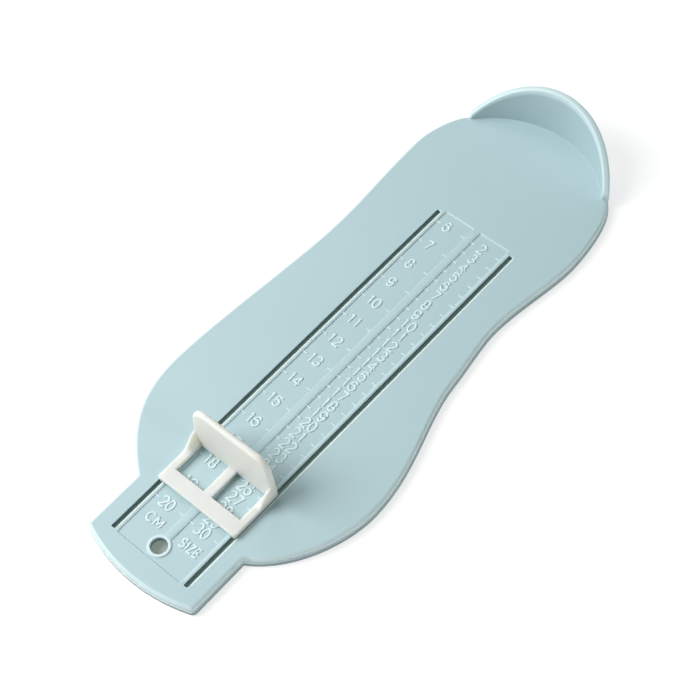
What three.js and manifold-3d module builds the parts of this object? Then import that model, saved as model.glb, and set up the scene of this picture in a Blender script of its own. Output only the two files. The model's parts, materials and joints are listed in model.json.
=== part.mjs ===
// Foot measuring device: a foot-shaped base plate with a heel stop and two
// raised scales, and a slider that runs in two slots up to the toes.
// Millimetres, +Z up, the heel toward +Y, the hang hole toward -Y.
import * as THREE from "three";
import { mergeVertices } from "three/addons/utils/BufferGeometryUtils.js";
import Module from "manifold-3d";

const wasm = await Module();
wasm.setup();

// Places on the plan are given across and along: across from the middle of
// the scale, along from the zero of the scale at the heel toward the hole.

// Base plate: a thin deck with a skirt round its edge, hollow underneath.
const DECK_THICKNESS = 2.0;
const SKIRT_DROP = 2.0;
const SKIRT_THICKNESS = 1.8;
const LEDGE_HEIGHT = 1.9;
const LEDGE_WIDTH = 0.35;
const SHOULDER_WIDTH = 1.2;
const SHOULDER_DROP = 1.3;
const EDGE_STEPS = 4;
const CURVE_STEPS = 14;
const DECK = DECK_THICKNESS + SKIRT_DROP;

// Scale: centimetres in one column, shoe sizes at half that pitch in the other.
const CENTIMETRE = 10.0;
const FIRST_CENTIMETRE = 6;
const LAST_CENTIMETRE = 20;
const SIZES_PER_CENTIMETRE = 2;
const SCALE_START = FIRST_CENTIMETRE * CENTIMETRE;
const SCALE_END = LAST_CENTIMETRE * CENTIMETRE;
const TICK_LENGTH = 1.7;
const TICK_WIDTH = 0.6;
const TICK_HEIGHT = 0.25;

// Hang hole, with a ring round it.
const HOLE_RADIUS = 2.8;
const RING_WIDTH = 1.2;
const HOLE_MARGIN = 12.4;
const HOLE_ALONG = SCALE_END + HOLE_MARGIN;
const RING_RADIUS = HOLE_RADIUS + RING_WIDTH;
const ROUND_STEPS = 32;

// Panel that holds both columns: sunk in the deck, with a rib down its middle.
const PANEL_HALF_WIDTH = 13.8;
const PANEL_DEPTH = 0.4;
const PANEL_START_MARGIN = 5.0;
const PANEL_END_MARGIN = 0.8;
const RIB_HALF_WIDTH = 1.5;
const PANEL_START = SCALE_START - PANEL_START_MARGIN;
const PANEL_END = HOLE_ALONG + RING_RADIUS + PANEL_END_MARGIN;

// Slots for the slider's legs, beside the panel.
const RAIL_WIDTH = 1.45;
const SLOT_WIDTH = 1.5;
const SLOT_START_INSET = 1.2;
const SLOT_END_INSET = 0.2;
const SLOT_INNER = PANEL_HALF_WIDTH + RAIL_WIDTH;
const SLOT_OUTER = SLOT_INNER + SLOT_WIDTH;
const SLOT_START = PANEL_START + SLOT_START_INSET;
const SLOT_END = PANEL_END - SLOT_END_INSET;

// Handle: the straight tab in front of the toes, with a bowed front edge.
const HANDLE_MARGIN = 6.85;
const HANDLE_START_MARGIN = 0.7;
const FRONT_MARGIN = 8.8;
const FRONT_RADIUS = 63.5;
const CORNER_RADIUS = 1.5;
const HANDLE_HALF_WIDTH = SLOT_OUTER + HANDLE_MARGIN;
const HANDLE_START = SCALE_END - HANDLE_START_MARGIN;
const FRONT_EDGE = PANEL_END + FRONT_MARGIN;

// Heel stop: a thin wall round the heel that leans outward. Its rim is round
// and a little wider, and climbs from both ends to the back.
const HEEL_ACROSS = -4.2;
const HEEL_ALONG = 41.8;
const HEEL_RADIUS = 41.0;
const STOP_THICKNESS = 2.2;
const RIM_WIDTH = 2.6;
const STOP_HALF_ANGLE = 50;
const STOP_END_HEIGHT = 0.6;
const STOP_BACK_HEIGHT = 16.5;
const STOP_LEAN = 0.15;
const HEEL_STEP = 2;
const RIM_STEPS = 6;

// Sides of the plate, from the heel to the handle. At each station the edge
// turns outward by the given degrees from straight ahead, and the curve's
// handles reach that far before and after it.
const HEEL_ARC = STOP_HALF_ANGLE + 4;
const RIGHT_SIDE = {
  arcReach: 6.6,
  stations: {
    heel: { across: 34.5, along: 45.5, turn: 0, before: 8.7, after: 10.2 },
    waist: { across: 30.2, along: 83.3, turn: 0, before: 12.4, after: 6.7 },
    instep: { across: 33.0, along: 107.6, turn: 5, before: 6.5, after: 16.2 },
    ball: { across: 44.2, along: 160.0, turn: 0, before: 20.7, after: 13.6 },
  },
  toeTurn: -59,
  toeReach: 14.8,
};
const LEFT_SIDE = {
  arcReach: 5.5,
  stations: {
    heel: { across: 43.2, along: 37.4, turn: 0, before: 6.5, after: 13.6 },
    waist: { across: 41.0, along: 82.7, turn: 0, before: 13.7, after: 21.6 },
    ball: { across: 45.7, along: 157.9, turn: 0, before: 22.3, after: 18.1 },
  },
  toeTurn: -53,
  toeReach: 20.0,
};

// Slider: a flat frame with two windows, a stop wall for the toes, a gusset at
// each side and four snap legs. READING is where its stop face stands.
const READING = 175.5;
const SLIDING_GAP = 0.3;
const SLIDER_LENGTH = 20.3;
const SLIDER_MARGIN = 0.15;
const SLIDER_CORNER = 0.8;
const SIDE_WIDTH = 2.7;
const FRAME_THICKNESS = 1.9;
const BAR_THICKNESS = 1.4;
const REAR_BAR = 5.6;
const MIDDLE_BAR_HALF_WIDTH = 1.65;
const WALL_HEIGHT = 21.0;
const WALL_FOOT = 3.0;
const WALL_TOP = 2.4;
const WALL_CORNER = 5.2;
const WALL_DRAFT = 0.7;
const GUSSET_RISE = 5.4;
const GUSSET_RUN = 6.4;
const GUSSET_EDGE_WIDTH = 0.8;
const GUSSET_STEPS = 10;
const SLIDER_HALF_WIDTH = SLOT_OUTER + SLIDER_MARGIN;
const FRAME_TOP = SLIDING_GAP + FRAME_THICKNESS;

// Snap legs: the first pair stops the slider just short of the scale, the
// last pair stops it with the stop face on the last graduation.
const LEG_LENGTH = 4.0;
const FIRST_LEG = 0.5;
const LAST_LEG_END = SLOT_END - SLIDING_GAP - SCALE_END;
const BARB_REACH = 0.9;
const BARB_LIP = 0.3;
const BARB_CLEARANCE = 0.6;

// Cutting tools reach past what they cut, and joined pieces into each other.
const OVERSHOOT = 1.0;
const OVERLAP = 0.4;

const radians = THREE.MathUtils.degToRad;

/** A point of the plan, with the heel toward +Y. */
function plan(across, along) {
  return new THREE.Vector2(across, -along);
}

/** Lifts plan points to a height. */
function atHeight(points, z) {
  return points.map((point) => new THREE.Vector3(point.x, point.y, z));
}

/** Turns a closed geometry into a solid that can be joined and cut. */
function solid(geometry) {
  const bare = geometry.clone();
  bare.deleteAttribute("normal");
  bare.deleteAttribute("uv");
  const merged = mergeVertices(bare, 1e-5);
  return new wasm.Manifold(new wasm.Mesh({
    numProp: 3,
    vertProperties: new Float32Array(merged.attributes.position.array),
    triVerts: new Uint32Array(merged.index.array),
  }));
}

/** A box between two corners. */
function block(x0, y0, z0, x1, y1, z1) {
  const geometry = new THREE.BoxGeometry(x1 - x0, y1 - y0, z1 - z0);
  return solid(geometry.translate((x0 + x1) / 2, (y0 + y1) / 2, (z0 + z1) / 2));
}

/** An upright cylinder. */
function post(across, along, radius, z0, z1) {
  const geometry = new THREE.CylinderGeometry(radius, radius, z1 - z0, ROUND_STEPS);
  return solid(geometry.rotateX(Math.PI / 2).translate(across, -along, (z0 + z1) / 2));
}

/**
 * Joins rings of points into a closed solid. The outline is the shape of a
 * ring laid flat, anticlockwise seen from the last ring.
 */
function loft(rings, outline) {
  const count = outline.length;
  const last = (rings.length - 1) * count;
  const index = [];
  for (const [a, b, c] of THREE.ShapeUtils.triangulateShape(outline, [])) {
    index.push(c, b, a, last + a, last + b, last + c);
  }
  for (let ring = 0; ring < last; ring += count) {
    for (let point = 0; point < count; point += 1) {
      const a = ring + point;
      const b = ring + ((point + 1) % count);
      index.push(a, b, b + count, a, b + count, a + count);
    }
  }
  const geometry = new THREE.BufferGeometry();
  const positions = rings.flat().flatMap((point) => point.toArray());
  geometry.setAttribute("position", new THREE.Float32BufferAttribute(positions, 3));
  geometry.setIndex(index);
  return solid(geometry);
}

/** One mesh of the device, with flat faces. */
function piece(name, body, material) {
  const { vertProperties, triVerts } = body.getMesh();
  const geometry = new THREE.BufferGeometry();
  geometry.setAttribute("position", new THREE.BufferAttribute(vertProperties, 3));
  geometry.setIndex(new THREE.BufferAttribute(triVerts, 1));
  const mesh = new THREE.Mesh(geometry, material);
  mesh.name = name;
  return mesh;
}

/** Points down one side of the plate; sign is 1 on the right, -1 on the left. */
function sidePoints(side, sign) {
  const arc = radians(HEEL_ARC);
  const stations = [
    {
      across: sign * HEEL_ACROSS + HEEL_RADIUS * Math.sin(arc),
      along: HEEL_ALONG - HEEL_RADIUS * Math.cos(arc),
      turn: 90 - HEEL_ARC,
      after: side.arcReach,
    },
    ...Object.values(side.stations),
    { across: HANDLE_HALF_WIDTH, along: HANDLE_START, turn: side.toeTurn, before: side.toeReach },
  ];
  const points = [];
  for (let i = 1; i < stations.length; i += 1) {
    const [from, to] = [stations[i - 1], stations[i]];
    const [leave, arrive] = [radians(from.turn), radians(to.turn)];
    const curve = new THREE.CubicBezierCurve(
      plan(sign * from.across, from.along),
      plan(
        sign * (from.across + from.after * Math.sin(leave)),
        from.along + from.after * Math.cos(leave),
      ),
      plan(
        sign * (to.across - to.before * Math.sin(arrive)),
        to.along - to.before * Math.cos(arrive),
      ),
      plan(sign * to.across, to.along),
    );
    points.push(...curve.getPoints(CURVE_STEPS).slice(i === 1 ? 0 : 1));
  }
  return points;
}

/** Points round the front of the handle, from its left side to its right. */
function frontPoints() {
  const centre = FRONT_EDGE - FRONT_RADIUS;
  const halfAngle = Math.asin(HANDLE_HALF_WIDTH / FRONT_RADIUS);
  const arcStart = halfAngle - CORNER_RADIUS / FRONT_RADIUS;
  const corner = centre + FRONT_RADIUS * Math.cos(halfAngle);
  const onArc = (angle) => plan(
    FRONT_RADIUS * Math.sin(angle),
    centre + FRONT_RADIUS * Math.cos(angle),
  );
  const rounding = (sign) => new THREE.QuadraticBezierCurve(
    plan(sign * HANDLE_HALF_WIDTH, corner - CORNER_RADIUS),
    plan(sign * HANDLE_HALF_WIDTH, corner),
    onArc(sign * arcStart),
  ).getPoints(EDGE_STEPS);
  const points = rounding(-1);
  for (let i = 1; i < CURVE_STEPS; i += 1) {
    points.push(onArc(THREE.MathUtils.lerp(-arcStart, arcStart, i / CURVE_STEPS)));
  }
  return [...points, ...rounding(1).reverse()];
}

/** Points round the heel, from its right side to its left, ends left out. */
function heelPoints() {
  const points = [];
  const steps = Math.round(2 * HEEL_ARC / HEEL_STEP);
  for (let i = 1; i < steps; i += 1) {
    const angle = radians(THREE.MathUtils.lerp(HEEL_ARC, -HEEL_ARC, i / steps));
    points.push(plan(
      HEEL_ACROSS + HEEL_RADIUS * Math.sin(angle),
      HEEL_ALONG - HEEL_RADIUS * Math.cos(angle),
    ));
  }
  return points;
}

/** The plate's outline, anticlockwise seen from above. */
function plateOutline() {
  return [
    ...sidePoints(LEFT_SIDE, -1),
    ...frontPoints(),
    ...sidePoints(RIGHT_SIDE, 1).reverse(),
    ...heelPoints(),
  ];
}

/** An anticlockwise outline, drawn in by a distance. */
function inset(outline, distance) {
  const count = outline.length;
  return outline.map((point, i) => {
    const before = point.clone().sub(outline[(i + count - 1) % count]).normalize();
    const after = outline[(i + 1) % count].clone().sub(point).normalize();
    const inward = new THREE.Vector2(-before.y - after.y, before.x + after.x);
    return inward.multiplyScalar(distance / (1 + before.dot(after))).add(point);
  });
}

/** The plate with a ledge and a soft shoulder round its edge, hollow from below. */
function plateShell() {
  const outline = plateOutline();
  const rings = [
    atHeight(outline, 0),
    atHeight(outline, LEDGE_HEIGHT),
    atHeight(inset(outline, LEDGE_WIDTH), LEDGE_HEIGHT),
  ];
  for (let i = 0; i <= EDGE_STEPS; i += 1) {
    const angle = radians(90 * i / EDGE_STEPS);
    const drawnIn = LEDGE_WIDTH + SHOULDER_WIDTH * (1 - Math.cos(angle));
    const z = DECK - SHOULDER_DROP * (1 - Math.sin(angle));
    rings.push(atHeight(inset(outline, drawnIn), z));
  }
  const inside = inset(outline, SKIRT_THICKNESS);
  const hollow = loft([atHeight(inside, -OVERSHOOT), atHeight(inside, SKIRT_DROP)], inside);
  return loft(rings, outline).subtract(hollow);
}

/** Section of the heel stop: x is the radius from the heel's centre. */
function stopSection(height) {
  const half = RIM_WIDTH / 2;
  const inner = HEEL_RADIUS - STOP_THICKNESS;
  const points = [
    new THREE.Vector2(inner, DECK),
    new THREE.Vector2(inner, DECK - OVERLAP),
    new THREE.Vector2(HEEL_RADIUS - half, 0),
    new THREE.Vector2(HEEL_RADIUS, 0),
    new THREE.Vector2(HEEL_RADIUS, DECK),
  ];
  const middle = HEEL_RADIUS - half + STOP_LEAN * height;
  for (let i = 0; i <= RIM_STEPS; i += 1) {
    const angle = Math.PI * i / RIM_STEPS;
    points.push(new THREE.Vector2(
      middle + half * Math.cos(angle),
      DECK + height + half * Math.sin(angle),
    ));
  }
  return points;
}

/** Height of the heel stop's inner edge at an angle from the back. */
function stopHeight(angle) {
  const end = Math.cos(radians(STOP_HALF_ANGLE));
  const climb = (Math.cos(angle) - end) / (1 - end);
  return THREE.MathUtils.lerp(STOP_END_HEIGHT, STOP_BACK_HEIGHT, climb);
}

/** The wall round the heel, joined to the plate down to its foot. */
function heelStop() {
  const rings = [];
  const steps = Math.round(2 * STOP_HALF_ANGLE / HEEL_STEP);
  for (let i = 0; i <= steps; i += 1) {
    const angle = radians(THREE.MathUtils.lerp(-STOP_HALF_ANGLE, STOP_HALF_ANGLE, i / steps));
    rings.push(stopSection(stopHeight(angle)).map((point) => new THREE.Vector3(
      HEEL_ACROSS + point.x * Math.sin(angle),
      -HEEL_ALONG + point.x * Math.cos(angle),
      point.y,
    )));
  }
  return loft(rings, stopSection(STOP_END_HEIGHT));
}

/** Both rows of ticks of one column, from the outer edge and from the rib. */
function columnTicks(sign, pitch) {
  const floor = DECK - PANEL_DEPTH;
  const rows = [
    [RIB_HALF_WIDTH - OVERLAP, RIB_HALF_WIDTH + TICK_LENGTH],
    [PANEL_HALF_WIDTH - TICK_LENGTH, PANEL_HALF_WIDTH + OVERLAP],
  ];
  const ticks = [];
  const count = Math.round((SCALE_END - SCALE_START) / pitch);
  for (let i = 0; i <= count; i += 1) {
    const y = -(SCALE_START + i * pitch);
    for (const [near, far] of rows) {
      const [x0, x1] = sign > 0 ? [near, far] : [-far, -near];
      ticks.push(block(
        x0,
        y - TICK_WIDTH / 2,
        floor - OVERLAP,
        x1,
        y + TICK_WIDTH / 2,
        floor + TICK_HEIGHT,
      ));
    }
  }
  return ticks;
}

/** What is cut out of the deck to sink the panel round its rib and ticks. */
function panelCut() {
  const floor = DECK - PANEL_DEPTH;
  const top = DECK + OVERSHOOT;
  const cut = block(-PANEL_HALF_WIDTH, -PANEL_END, floor, PANEL_HALF_WIDTH, -PANEL_START, top);
  const rib = block(
    -RIB_HALF_WIDTH,
    -HOLE_ALONG,
    floor - OVERLAP,
    RIB_HALF_WIDTH,
    -PANEL_START + OVERSHOOT,
    top + OVERSHOOT,
  );
  const ring = post(0, HOLE_ALONG, RING_RADIUS, floor - OVERLAP, top + OVERSHOOT);
  const raised = [
    rib,
    ring,
    ...columnTicks(-1, CENTIMETRE),
    ...columnTicks(1, CENTIMETRE / SIZES_PER_CENTIMETRE),
  ];
  return raised.reduce((body, item) => body.subtract(item), cut);
}

/** One of the two slots through the deck. */
function slotCut(sign) {
  const [x0, x1] = sign > 0 ? [SLOT_INNER, SLOT_OUTER] : [-SLOT_OUTER, -SLOT_INNER];
  return block(x0, -SLOT_END, -OVERSHOOT, x1, -SLOT_START, DECK + OVERSHOOT);
}

/** The whole base plate. */
function basePlate() {
  return plateShell()
    .add(heelStop())
    .subtract(panelCut())
    .subtract(slotCut(1))
    .subtract(slotCut(-1))
    .subtract(post(0, HOLE_ALONG, HOLE_RADIUS, -OVERSHOOT, DECK + OVERSHOOT));
}

// The slider is built with its stop face at y = 0 and the deck at z = 0.

/** The flat frame, bridged over the panel between its two sides. */
function sliderFrame() {
  const half = SLIDER_HALF_WIDTH;
  const outer = new THREE.Shape();
  outer.moveTo(half, 0);
  outer.lineTo(-half, 0);
  const rear = SLIDER_CORNER - SLIDER_LENGTH;
  outer.absarc(SLIDER_CORNER - half, rear, SLIDER_CORNER, Math.PI, 1.5 * Math.PI);
  outer.absarc(half - SLIDER_CORNER, rear, SLIDER_CORNER, 1.5 * Math.PI, 2 * Math.PI);
  const depth = FRAME_THICKNESS;
  const frame = new THREE.ExtrudeGeometry(outer, { depth, bevelEnabled: false, curveSegments: EDGE_STEPS });
  const inside = half - SIDE_WIDTH;
  const bridge = block(
    -inside,
    -SLIDER_LENGTH - OVERSHOOT,
    SLIDING_GAP - OVERSHOOT,
    inside,
    OVERSHOOT,
    FRAME_TOP - BAR_THICKNESS,
  );
  const window = (x0, x1) => block(
    x0,
    -(SLIDER_LENGTH - REAR_BAR),
    -OVERSHOOT,
    x1,
    -WALL_FOOT,
    FRAME_TOP + OVERSHOOT,
  );
  return solid(frame.translate(0, 0, SLIDING_GAP))
    .subtract(bridge)
    .subtract(window(-inside, -MIDDLE_BAR_HALF_WIDTH))
    .subtract(window(MIDDLE_BAR_HALF_WIDTH, inside));
}

/** The stop wall: an upright face, a sloping back, drafted ends and round top corners. */
function stopWall() {
  const half = SLIDER_HALF_WIDTH;
  const cornerAcross = half - WALL_DRAFT - WALL_CORNER;
  const cornerUp = WALL_HEIGHT - WALL_CORNER;
  const shape = new THREE.Shape();
  shape.moveTo(-half, FRAME_TOP + GUSSET_RISE);
  shape.lineTo(-half, FRAME_TOP - BAR_THICKNESS);
  shape.lineTo(half, FRAME_TOP - BAR_THICKNESS);
  shape.lineTo(half, FRAME_TOP + GUSSET_RISE);
  shape.absarc(cornerAcross, cornerUp, WALL_CORNER, 0, Math.PI / 2);
  shape.absarc(-cornerAcross, cornerUp, WALL_CORNER, Math.PI / 2, Math.PI);
  const outline = shape.getPoints(EDGE_STEPS);
  const face = outline.map((point) => new THREE.Vector3(point.x, 0, point.y));
  const back = outline.map((point) => {
    const thickness = THREE.MathUtils.lerp(WALL_FOOT, WALL_TOP, point.y / WALL_HEIGHT);
    return new THREE.Vector3(point.x, -thickness, point.y);
  });
  return loft([face, back], outline);
}

/** The gusset on one side, whose inner face sweeps out from the window to a narrow edge. */
function gusset(sign) {
  const half = SLIDER_HALF_WIDTH;
  const foot = FRAME_TOP - OVERLAP;
  const start = WALL_TOP;
  const end = WALL_FOOT + GUSSET_RUN;
  const edge = new THREE.CubicBezierCurve(
    new THREE.Vector2(start, FRAME_TOP + GUSSET_RISE),
    new THREE.Vector2(THREE.MathUtils.lerp(start, end, 0.5), FRAME_TOP + 0.75 * GUSSET_RISE),
    new THREE.Vector2(THREE.MathUtils.lerp(start, end, 0.6), FRAME_TOP),
    new THREE.Vector2(end, FRAME_TOP - OVERLAP / 2),
  );
  const section = (height) => [
    new THREE.Vector2(sign * (half - SIDE_WIDTH), foot),
    new THREE.Vector2(sign * half, foot),
    new THREE.Vector2(sign * half, height),
    new THREE.Vector2(sign * (half - GUSSET_EDGE_WIDTH), height),
  ];
  const rings = edge.getPoints(GUSSET_STEPS).map((point) => (
    section(point.y).map((corner) => new THREE.Vector3(corner.x, -point.x, corner.y))
  ));
  if (sign < 0) {
    rings.forEach((ring) => ring.reverse());
    return loft(rings, section(FRAME_TOP).reverse());
  }
  return loft(rings, section(FRAME_TOP));
}

/** A leg that drops through its slot and hooks outward under the deck. */
function leg(sign, from) {
  const inner = SLOT_INNER + SLIDING_GAP;
  const outer = SLOT_OUTER - SLIDING_GAP;
  const hook = -DECK_THICKNESS - SLIDING_GAP;
  const foot = BARB_CLEARANCE - DECK;
  const shape = new THREE.Shape([
    new THREE.Vector2(inner, foot),
    new THREE.Vector2(outer, foot),
    new THREE.Vector2(outer + BARB_REACH, hook - BARB_LIP),
    new THREE.Vector2(outer + BARB_REACH, hook),
    new THREE.Vector2(outer, hook),
    new THREE.Vector2(outer, SLIDING_GAP + OVERLAP),
    new THREE.Vector2(inner, SLIDING_GAP + OVERLAP),
  ]);
  const profile = new THREE.ExtrudeGeometry(shape, { depth: LEG_LENGTH, bevelEnabled: false });
  profile.rotateX(Math.PI / 2);
  if (sign > 0) {
    return solid(profile.translate(0, -from, 0));
  }
  return solid(profile.rotateZ(Math.PI).translate(0, -from - LEG_LENGTH, 0));
}

/** The whole slider, one moulding. */
function slider() {
  const legs = [FIRST_LEG, LAST_LEG_END - LEG_LENGTH].flatMap((from) => [leg(1, from), leg(-1, from)]);
  return [stopWall(), gusset(1), gusset(-1), ...legs].reduce(
    (body, item) => body.add(item),
    sliderFrame(),
  );
}

const baseMaterial = new THREE.MeshStandardMaterial({
  color: 0xb9d3d6,
  roughness: 0.5,
  metalness: 0,
});
const sliderMaterial = new THREE.MeshStandardMaterial({
  color: 0xeceae6,
  roughness: 0.45,
  metalness: 0,
});

const baseMesh = piece("base_plate", basePlate(), baseMaterial);
const sliderMesh = piece("slider", slider(), sliderMaterial);
sliderMesh.position.set(0, -READING, DECK);

// The origin lies under the middle of the whole device.
const device = new THREE.Group();
device.add(baseMesh, sliderMesh);
const box = new THREE.Box3().setFromObject(device);
device.position.set(-(box.min.x + box.max.x) / 2, -(box.min.y + box.max.y) / 2, 0);

const footMeasure = new THREE.Group();
footMeasure.add(device);

export default footMeasure;
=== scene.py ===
"""Foot measuring device: an aqua base plate with raised scales and a white slider.

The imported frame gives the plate's outline and openings, and the middle and the zero of the
scale. This script builds both mouldings with soft edges, raises the crowns, ticks, numbers and
words on the plate, gives each piece its plastic and lights them on a pale floor.
"""

import json
import math

import bmesh
import bpy
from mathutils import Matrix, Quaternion, Vector
from mathutils.geometry import interpolate_bezier

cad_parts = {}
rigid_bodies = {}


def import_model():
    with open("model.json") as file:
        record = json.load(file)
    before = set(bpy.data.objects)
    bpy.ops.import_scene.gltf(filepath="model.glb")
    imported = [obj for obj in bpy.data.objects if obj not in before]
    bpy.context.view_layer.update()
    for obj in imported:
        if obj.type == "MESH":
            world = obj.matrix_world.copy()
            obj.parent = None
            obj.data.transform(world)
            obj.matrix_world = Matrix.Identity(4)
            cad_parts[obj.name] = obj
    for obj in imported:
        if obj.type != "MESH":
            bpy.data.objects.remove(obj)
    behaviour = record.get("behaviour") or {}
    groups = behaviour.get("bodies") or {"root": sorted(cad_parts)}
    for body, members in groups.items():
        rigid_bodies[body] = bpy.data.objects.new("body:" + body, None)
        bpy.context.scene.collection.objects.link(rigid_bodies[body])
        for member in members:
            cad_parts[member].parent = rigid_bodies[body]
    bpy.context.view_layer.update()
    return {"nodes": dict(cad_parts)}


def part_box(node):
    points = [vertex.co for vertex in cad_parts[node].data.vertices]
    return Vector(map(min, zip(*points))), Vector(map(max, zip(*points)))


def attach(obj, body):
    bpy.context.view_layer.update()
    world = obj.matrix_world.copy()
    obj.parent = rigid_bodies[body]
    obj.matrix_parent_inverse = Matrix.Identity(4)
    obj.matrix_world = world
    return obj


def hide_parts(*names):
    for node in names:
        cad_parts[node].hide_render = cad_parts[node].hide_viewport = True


MM = 0.001

# Lengths are in millimetres and angles in degrees, unless a comment says otherwise. These are
# how close points merge, in the frame's nodes and in a piece, how close two heights are the
# same, how close the ends of a closed stroke lie, how upright the normal of a flat face is,
# and the least sine of a bend in an outline.
NODE_MERGE = 0.001
PIECE_MERGE = 0.002
SAME_HEIGHT = 0.01
CLOSED_GAP = 1e-6
LEVEL_NORMAL = 0.999
LEAST_BEND = 1e-4

# Sockets of a mix node: its share and its two colours, and the mixed colour that it gives.
MIX_SHARE = 0
MIX_FIRST = 6
MIX_SECOND = 7
MIX_RESULT = 2

# Places on the plan are across and along: across from the middle of the scale, along from
# the zero of the scale at the heel toward the hang hole.
PLATE_FRONT = 226.0
DECK_TOP = 4.0
CEILING = 2.0
SKIRT_THICKNESS = 1.8
PANEL_DEPTH = 0.4
PANEL_FLOOR = DECK_TOP - PANEL_DEPTH
HOLE_ALONG = 212.4
HOLE_RADIUS = 2.8
RING_RADIUS = 4.0
PANEL_START = 55.0
PANEL_END = 217.2
PANEL_HALF_WIDTH = 13.8
RIB_HALF_WIDTH = 1.5
SLOT_INNER = 15.25
SLOT_OUTER = 16.75

# The plate's edge: a ledge, with the middle of its rounding, and above it a soft shoulder
# up to the deck.
LEDGE_HEIGHT = 1.9
LEDGE_WIDTH = 0.35
LEDGE_ROUNDING = 0.15
LEDGE_MIDDLE = LEDGE_ROUNDING / 3
SHOULDER_WIDTH = 1.2
SHOULDER_DROP = 1.3
SHOULDER_STEPS = 8

# Roundings of the plate's other edges, and the steps of a fine and of a coarse one. A corner
# past the straight angle stays, and a round takes no more than a share of the shorter side.
RIM_ROUNDING = 0.3
HOLLOW_FILLET = 0.4
SLOT_ROUNDING = 0.1
SLOT_RIGHT_ROUNDING = 0.3
SLOT_CORNER = 0.35
HOLE_ROUNDING = 0.25
UNDER_ROUNDING = 0.15
PANEL_ROUNDING = 0.25
PANEL_FILLET = 0.2
PANEL_CORNER = 0.3
FINE_STEPS = 3
COARSE_STEPS = 2
STRAIGHT_ANGLE = 150.0
SIDE_SHARE = 0.45

# Low crowns on the rib, on the ring, on the rail between the panel and the right slot, and
# along the right lips of both slots, at a distance from the slots' edges. They keep an inset
# from the panel's ends.
RAIL_MIDDLE = (PANEL_HALF_WIDTH + SLOT_INNER) / 2
RING_MIDDLE = (HOLE_RADIUS + RING_RADIUS) / 2
LIP_MIDDLE = 0.55
RAIL_CROWN_WIDTH = 1.0
RIB_CROWN_WIDTH = 2.3
RING_CROWN_WIDTH = 1.0
LIP_CROWN_WIDTH = 0.8
CROWN_HEIGHT = 0.07
CROWN_INSET = 1.5

# How pale the painted highlights are, from 0 for none of the highlight tone to 1 for all of it,
# on edges, lips, crowns, the rim and raised strokes where light catches them. Below 0 the
# plastic is darker with painted shade, as inside the heel stop, on the skirt and, down from a
# depth, in the slots and the hole.
RAIL_PALENESS = 0.5
RIB_PALENESS = 0.1
RING_PALENESS = 0.9
LIP_PALENESS = 1.0
RIM_PALENESS = 0.6
STOP_PALENESS = -0.1
PANEL_PALENESS = 0.5
EDGE_PALENESS = 0.95
SKIRT_PALENESS = -0.5
DIM_PALENESS = -0.45
DIM_DEPTH = 0.2

# Heel stop: a wall on the heel's circle, to within a margin, that leans outward and climbs to
# the back. Its rim is a bead, squarer than a round one, that reaches down the inside, by no
# more than a share of the wall's height. The rim's painted highlight fades over a share of the
# wall below it. The outline gets more points where the stop's ends round off, at shares of a
# rounding.
HEEL_ACROSS = -4.2
HEEL_ALONG = 41.8
HEEL_RADIUS = 41.0
HEEL_MARGIN = 0.1
STOP_THICKNESS = 2.2
RIM_WIDTH = 2.6
RIM_INNER_DROP = 1.5
RIM_INNER_SHARE = 0.7
RIM_SQUARENESS = 0.65
RIM_STEPS = 14
RIM_FADE = 0.08
STOP_HALF_ANGLE = 50.0
STOP_END_HEIGHT = 0.6
STOP_BACK_HEIGHT = 16.5
STOP_LEAN = 0.15
STOP_FILLET = 0.3
STOP_FILLET_STEPS = 4
LEFT_END_ROUNDING = 1.0
RIGHT_END_ROUNDING = 0.3
END_SHARES = (1.0, 0.8, 0.55, 0.3, 0.1)

# Scales: a number every centimetre on the left, a size every half centimetre on the right.
CENTIMETRE = 10.0
FIRST_CENTIMETRE = 6
LAST_CENTIMETRE = 20
FIRST_SIZE = 2
LAST_SIZE = 30
SIZE_PITCH = CENTIMETRE / 2
TICK_LENGTH = 1.7
TICK_WIDTH = 0.6
TICK_HEIGHT = 0.25

# Where digits stand across: a lone digit, and the tens and the ones of two.
CENTIMETRE_DIGITS = (-9.2, -9.9, -7.2)
SIZE_DIGITS = (6.3, 5.4, 8.3)

# Each word: its letters, where each of them stands across, and their width.
WORDS = {
    "centimetre_word": ("CM", (-9.3, -5.8), 2.8),
    "size_word": ("SIZE", (5.1, 6.9, 8.6, 10.9), 1.9),
}

# Raised strokes: flat on top with sloping flanks, soft edges and round ends, each cut off at
# a share of its round. An arc has a point at each of its steps.
STROKE_WIDTH = 0.85
STROKE_HEIGHT = 0.32
STROKE_FLANK = 0.18
STROKE_ROUNDING = 0.14
STROKE_SINK = 0.06
STROKE_STEP = 0.18
END_SHARE = 0.9
ARC_STEP = 12.0
DIGIT_HEIGHT = 3.75
DIGIT_WIDTH = 2.35
WORD_HEIGHT = 3.2
WORD_ALONG = 206.6

# Slider: the reading is where its stop face stands along the scale. Other places are behind
# that face, toward the hang hole, and heights are above the deck. The gusset's top edge is a
# curve led by points at shares of its run and rise.
READING = 175.5
SLIDING_GAP = 0.3
SLIDER_LENGTH = 20.3
SLOT_COVER = 0.15
SLIDER_HALF_WIDTH = SLOT_OUTER + SLOT_COVER
SLIDER_CORNER = 0.8
SIDE_WIDTH = 2.7
FRAME_THICKNESS = 1.9
FRAME_TOP = SLIDING_GAP + FRAME_THICKNESS
BAR_THICKNESS = 1.4
BAR_UNDERSIDE = FRAME_TOP - BAR_THICKNESS
REAR_BAR = 5.6
MIDDLE_BAR_HALF_WIDTH = 1.65
WALL_HEIGHT = 21.0
WALL_FOOT = 3.0
WALL_TOP = 2.4
WALL_CORNER = 5.2
WALL_DRAFT = 0.7
GUSSET_RISE = 5.4
GUSSET_RUN = 6.4
GUSSET_TOP = FRAME_TOP + GUSSET_RISE
GUSSET_CURVE = ((0, 1), (0.5, 0.75), (0.6, 0), (1, 0))
GUSSET_EDGE_WIDTH = 0.8
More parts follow.
